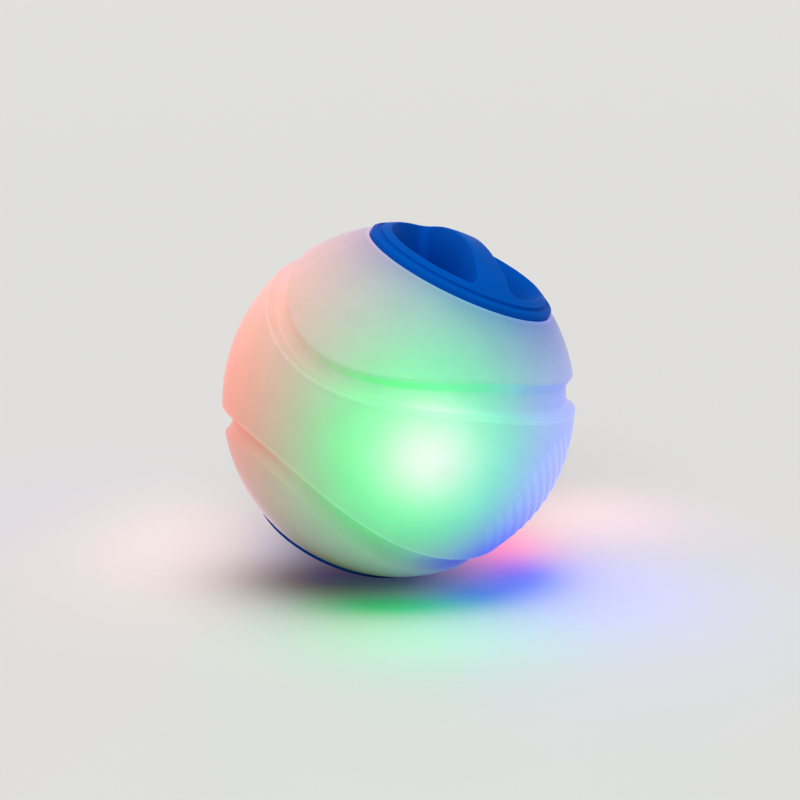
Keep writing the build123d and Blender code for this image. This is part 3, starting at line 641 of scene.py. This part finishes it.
# The board is a round of green solder-masked glass laminate, screwed to the lower half of
# the core. Its weave shows faintly through the mask.
board_laminate, tree, shader = new_material("board_laminate", Coat_Weight=0.4)
place = new_node(tree, "ShaderNodeTexCoord").outputs["Object"]
threads = {"Vector": upright(tree, place), "Scale": 500.0}
warp = new_node(tree, "ShaderNodeTexWave", threads, bands_direction="X").outputs["Fac"]
weft = new_node(tree, "ShaderNodeTexWave", threads, bands_direction="Y").outputs["Fac"]
weave = calc(tree, "MULTIPLY", warp, weft)
mask_colour = new_node(tree, "ShaderNodeMix", {"Factor": weave}, data_type="RGBA")
mask_colour.inputs["A"].default_value = (0.006, 0.075, 0.022, 1)
mask_colour.inputs["B"].default_value = (0.012, 0.13, 0.045, 1)
tree.links.new(mask_colour.outputs["Result"], shader.inputs["Base Color"])
bump = new_node(tree, "ShaderNodeBump", {"Height": weave, "Strength": 0.2, "Distance": 0.00005})
tree.links.new(bump.outputs[0], shader.inputs["Normal"])
tree.links.new(calc(tree, "MULTIPLY_ADD", weave, -0.1, 0.4), shader.inputs["Roughness"])
dress(board_laminate, "circuit_board")


# The lamps are tinted epoxy domes on wire legs, one green, two blue and two red. Each is
# brightest where it is looked into square on.
def tinted_lamp(name, tint, glow):
    """Clear tinted epoxy with its own glow."""
    material, tree, shader = new_material(name, Transmission_Weight=0.6, IOR=1.53)
    facing = new_node(tree, "ShaderNodeLayerWeight", {"Blend": 0.4}).outputs["Facing"]
    place = new_node(tree, "ShaderNodeTexCoord").outputs["Object"]
    haze = new_node(tree, "ShaderNodeTexNoise", {"Vector": place, "Scale": 900.0}).outputs["Fac"]
    hot = calc(tree, "SUBTRACT", 1.0, facing)
    mix = new_node(tree, "ShaderNodeMix", {"Factor": hot}, data_type="RGBA")
    mix.inputs["A"].default_value = (*tint, 1)
    mix.inputs["B"].default_value = (*glow, 1)
    tree.links.new(mix.outputs["Result"], shader.inputs["Emission Color"])
    shader.inputs["Emission Strength"].default_value = 1.2
    shader.inputs["Base Color"].default_value = (*tint, 1)
    tree.links.new(calc(tree, "MULTIPLY_ADD", haze, 0.1, 0.05), shader.inputs["Roughness"])
    return material


dress(tinted_lamp("green_lamp", (0.05, 0.75, 0.25), (0.5, 1.0, 0.7)), "green_led")
dress(tinted_lamp("blue_lamp", (0.05, 0.15, 0.9), (0.35, 0.5, 1.0)), "blue_leds")
dress(tinted_lamp("red_lamp", (0.9, 0.06, 0.04), (1.0, 0.5, 0.4)), "red_leds")


# Bare metal inside: tinned lamp wires, plated screws and can, the steel cells, the steel
# coil and the sprung bronze strips. All of it is drawn or pressed, with fine lines.
def metal_group():
    """Drawn metal: a streaked colour, a roughness and a normal."""
    group = bpy.data.node_groups.new("drawn_metal", "ShaderNodeTree")
    for name, kind in (("Colour", "Color"), ("Stretch", "Vector"), ("Roughness", "Float")):
        group.interface.new_socket(name, in_out="INPUT", socket_type="NodeSocket" + kind)
    for name, kind in (("Colour", "Color"), ("Roughness", "Float"), ("Normal", "Vector")):
        group.interface.new_socket(name, in_out="OUTPUT", socket_type="NodeSocket" + kind)
    given = new_node(group, "NodeGroupInput").outputs
    out = new_node(group, "NodeGroupOutput")
    place = new_node(group, "ShaderNodeTexCoord").outputs["Object"]
    drawn = vector_step(group, "MULTIPLY", upright(group, place), given["Stretch"])
    lines = noise(group, drawn, 1.0, 3.0)
    shade = calc(group, "MULTIPLY_ADD", lines, 0.25, 0.85)
    colour = new_node(group, "ShaderNodeVectorMath", {0: given["Colour"]}, operation="SCALE")
    group.links.new(shade, colour.inputs["Scale"])
    group.links.new(colour.outputs[0], out.inputs["Colour"])
    group.links.new(calc(group, "MULTIPLY_ADD", lines, 0.18, given["Roughness"]), out.inputs["Roughness"])
    bump = new_node(group, "ShaderNodeBump", {"Height": lines, "Strength": 0.15, "Distance": 0.00003})
    group.links.new(bump.outputs[0], out.inputs["Normal"])
    return group


drawn_metal = metal_group()


def metal(name, colour, roughness, stretch=(3000, 3000, 300)):
    """Bare metal with the shared drawn lines."""
    material, tree, shader = new_material(name, Metallic=1.0)
    lines = new_node(tree, "ShaderNodeGroup", {
        "Colour": (*colour, 1), "Stretch": stretch, "Roughness": roughness,
    }, node_tree=drawn_metal)
    tree.links.new(lines.outputs["Colour"], shader.inputs["Base Color"])
    tree.links.new(lines.outputs["Roughness"], shader.inputs["Roughness"])
    tree.links.new(lines.outputs["Normal"], shader.inputs["Normal"])
    return material


dress(metal("tinned_wire", (0.72, 0.72, 0.73), 0.3), "led_leads")
screw_steel = metal("screw_steel", (0.6, 0.6, 0.6), 0.28)
dress(screw_steel, "board_screws", "base_screws", "swivel_screw", "battery_spring")
dress(metal("nickel", (0.72, 0.69, 0.62), 0.16), "motion_switch_can", "motion_switch_ball")
dress(metal("cell_steel", (0.68, 0.68, 0.67), 0.24, (400, 400, 4000)), "coin_cells")
contact_brass = metal("contact_brass", (0.75, 0.52, 0.24), 0.26, (400, 3000, 3000))
dress(contact_brass, "sled_contact", "board_leaf")


# Soldered to the board are a moulded controller chip that runs the lamps, ceramic chip
# resistors and a capacitor, an aluminium can in a shrink sleeve.
dress(moulded("black_plastic", (0.018, 0.018, 0.02), 0.5, relief=0.8), "controller_chip")
dress(moulded("ceramic", (0.05, 0.05, 0.055), 0.4, mottle=0.5, mottle_scale=1500.0), "resistors")
dress(moulded("can_sleeve", (0.02, 0.035, 0.11), 0.28, mottle=0.2, relief=0.1), "capacitor")


# The sled that holds the coin cells is moulded in natural white plastic with a satin face.
# The washer on which the cap turns is of the same.
sled_plastic = moulded("sled_plastic", (0.78, 0.78, 0.75), 0.4, mottle=0.06, relief=0.3)
dress(sled_plastic, "battery_sled", "swivel_washer")
